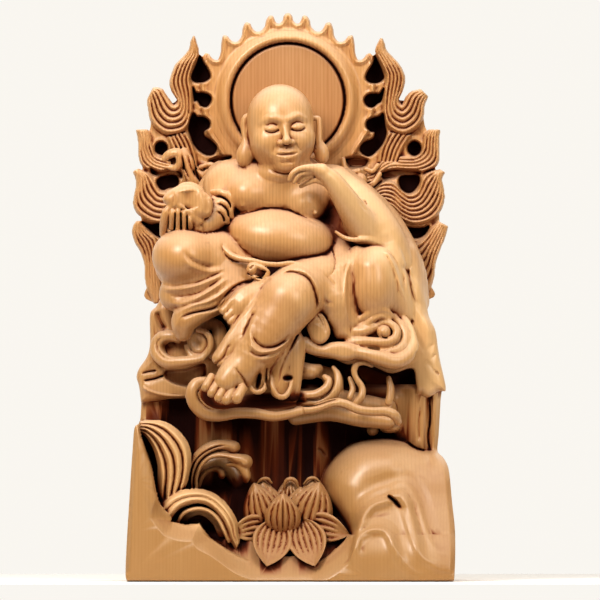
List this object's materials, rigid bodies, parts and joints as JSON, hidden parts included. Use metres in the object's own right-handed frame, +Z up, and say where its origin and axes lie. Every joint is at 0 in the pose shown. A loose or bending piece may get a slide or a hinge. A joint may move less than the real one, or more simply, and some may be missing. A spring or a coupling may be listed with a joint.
{
  "type": "budai figure",
  "caption": "Carved wooden figure of a laughing seated monk on clouds before a disc of flames, on a base with waves and a lotus, standing on its flat underside.",
  "frame": {"origin": "centre of the box of the carving, at the height of its flat underside", "axes": "+Z up, -Y the way the figure faces, +X to the viewer's right"},
  "size_m": [0.1738, 0.105, 0.3],
  "materials": {
    "carved_wood": "satin waxed pale brown softwood with fine upright grain, darker red-brown in the deep cuts"
  },
  "bodies": {
    "root": {"carving": "carved_wood"}
  },
  "joints": []
}
